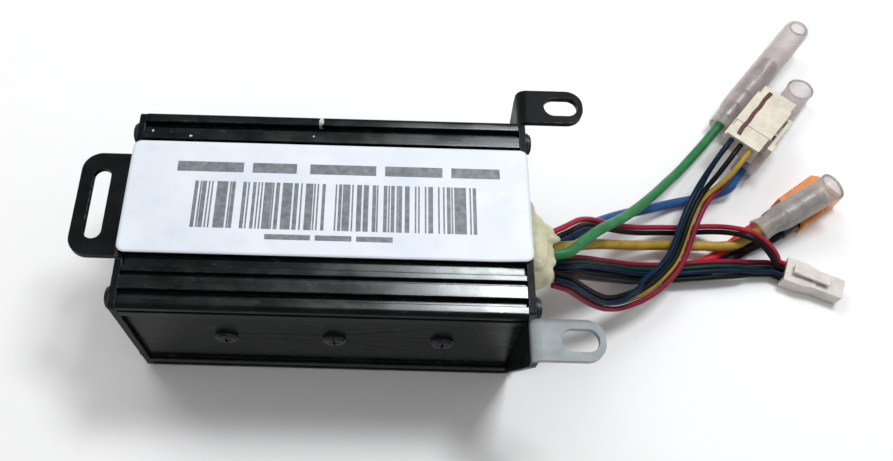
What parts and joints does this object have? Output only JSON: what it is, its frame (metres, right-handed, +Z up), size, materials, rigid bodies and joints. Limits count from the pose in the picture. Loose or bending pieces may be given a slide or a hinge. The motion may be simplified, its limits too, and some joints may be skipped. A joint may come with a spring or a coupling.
{
  "type": "motor speed controller",
  "caption": "Brushless motor speed controller in a ribbed black aluminium case with slotted end tabs, a sticker, and coloured leads leaving a cream grommet to bullet terminals and plugs.",
  "frame": {"origin": "centre of the box around the case, end plates and tabs, on the surface that the case lies on", "axes": "+X towards the grommet and leads, +Y towards the back, +Z up through the sticker"},
  "size_m": [0.1937, 0.1176, 0.0402],
  "materials": {
    "black_anodised_case": "black anodised, satin, scuffed along the ribs",
    "black_plate": "black finish on sheet steel, satin",
    "grey_plate": "dark finish worn to grey on the tabs, satin",
    "dark_screws": "black zinc, slightly worn",
    "label_paper": "white printed paper, matt",
    "cream_rubber": "cream silicone, matt",
    "board_green": "green solder mask on glass epoxy",
    "bare_aluminium": "as extruded",
    "grey_pad": "thin silicone heat pad, matt",
    "chip_black": "moulded epoxy, matt",
    "bright_steel": "zinc plated",
    "capacitor_sleeve": "shrunk PVC sleeve, glossy",
    "shunt_alloy": "plain wire alloy",
    "resistor_coat": "matt coating",
    "solder": "tinned",
    "inner_wire": "PVC insulation",
    "green_insulation": "PVC insulation, satin",
    "blue_insulation": "PVC insulation, satin",
    "yellow_insulation": "PVC insulation, satin",
    "red_insulation": "PVC insulation, satin",
    "black_insulation": "PVC insulation, satin",
    "crimson_insulation": "PVC insulation, satin",
    "dark_green_insulation": "PVC insulation, satin",
    "navy_insulation": "PVC insulation, satin",
    "heat_shrink": "shrunk tube, satin",
    "tinned_brass": "tinned sheet brass",
    "clear_sleeve": "soft translucent vinyl, slightly clouded",
    "ivory_nylon": "natural nylon, satin",
    "white_nylon": "natural nylon, slightly translucent",
    "contact_brass": "gold-flashed brass",
    "orange_nylon": "orange nylon, satin"
  },
  "bodies": {
    "controller": {"case_extrusion": "black_anodised_case", "left_end_plate": "black_plate", "right_end_plate": "grey_plate", "left_end_screws": "dark_screws", "right_end_screws": "dark_screws", "wall_screws": "dark_screws", "label": "label_paper", "cable_grommet": "cream_rubber", "circuit_board": "board_green", "heat_spreader": "bare_aluminium", "insulating_pad": "grey_pad", "mosfets": "chip_black", "mosfet_screws": "bright_steel", "bulk_capacitors": "capacitor_sleeve", "small_capacitors": "capacitor_sleeve", "microcontroller": "chip_black", "gate_drivers": "chip_black", "voltage_regulator": "chip_black", "current_shunts": "shunt_alloy", "dropper_resistor": "resistor_coat", "chip_resistors": "chip_black", "solder_posts": "solder", "inner_leads": "inner_wire", "inner_signal_leads": "inner_wire", "phase_lead_green": "green_insulation", "phase_lead_blue": "blue_insulation", "phase_lead_yellow": "yellow_insulation", "battery_lead_red": "red_insulation", "battery_lead_black": "black_insulation", "battery_heat_shrink": "heat_shrink", "brake_lead_red": "red_insulation", "brake_lead_black": "black_insulation", "control_lead_crimson": "crimson_insulation", "control_lead_green": "dark_green_insulation", "control_lead_navy": "navy_insulation", "control_lead_black": "black_insulation", "hall_lead_navy": "navy_insulation", "hall_lead_green": "dark_green_insulation", "hall_lead_crimson": "crimson_insulation", "hall_lead_black": "black_insulation", "hall_lead_yellow": "yellow_insulation", "terminal_green": "tinned_brass", "terminal_blue": "tinned_brass", "terminal_yellow": "tinned_brass", "hall_plug_housing": "ivory_nylon", "hall_plug_terminals": "contact_brass", "control_plug_housing": "white_nylon", "control_plug_terminals": "contact_brass", "battery_plug_housing": "orange_nylon", "battery_plug_contacts": "contact_brass"},
    "green_sleeve": {"sleeve_green": "clear_sleeve"},
    "blue_sleeve": {"sleeve_blue": "clear_sleeve"},
    "yellow_sleeve": {"sleeve_yellow": "clear_sleeve"},
    "hall_latch": {"hall_plug_latch": "ivory_nylon"},
    "control_latch": {"control_plug_latch": "white_nylon"}
  },
  "joints": [
    {"name": "green_sleeve_slide", "type": "slide", "parent": "controller", "child": "green_sleeve", "axis": [-0.6387, -0.7611, -0.1132], "range_m": [-0.004, 0.006]},
    {"name": "blue_sleeve_slide", "type": "slide", "parent": "controller", "child": "blue_sleeve", "axis": [-0.6157, -0.788, 0], "range_m": [-0.004, 0.004]},
    {"name": "yellow_sleeve_slide", "type": "slide", "parent": "controller", "child": "yellow_sleeve", "axis": [-0.8471, -0.4891, -0.2079], "range_m": [-0.004, 0]},
    {"name": "hall_latch_lever", "type": "hinge", "parent": "controller", "child": "hall_latch", "pos_m": [0.11792, 0.041, 0.0111], "axis": [0, 0, 1], "range_deg": [-4.5, 0], "stiffness_Nm_per_rad": 0.02},
    {"name": "control_latch_lever", "type": "hinge", "parent": "controller", "child": "control_latch", "pos_m": [0.12366, 0.00223, 0.00505], "axis": [0.3746, 0.9272, 0], "range_deg": [-3, 0], "stiffness_Nm_per_rad": 0.02}
  ]
}
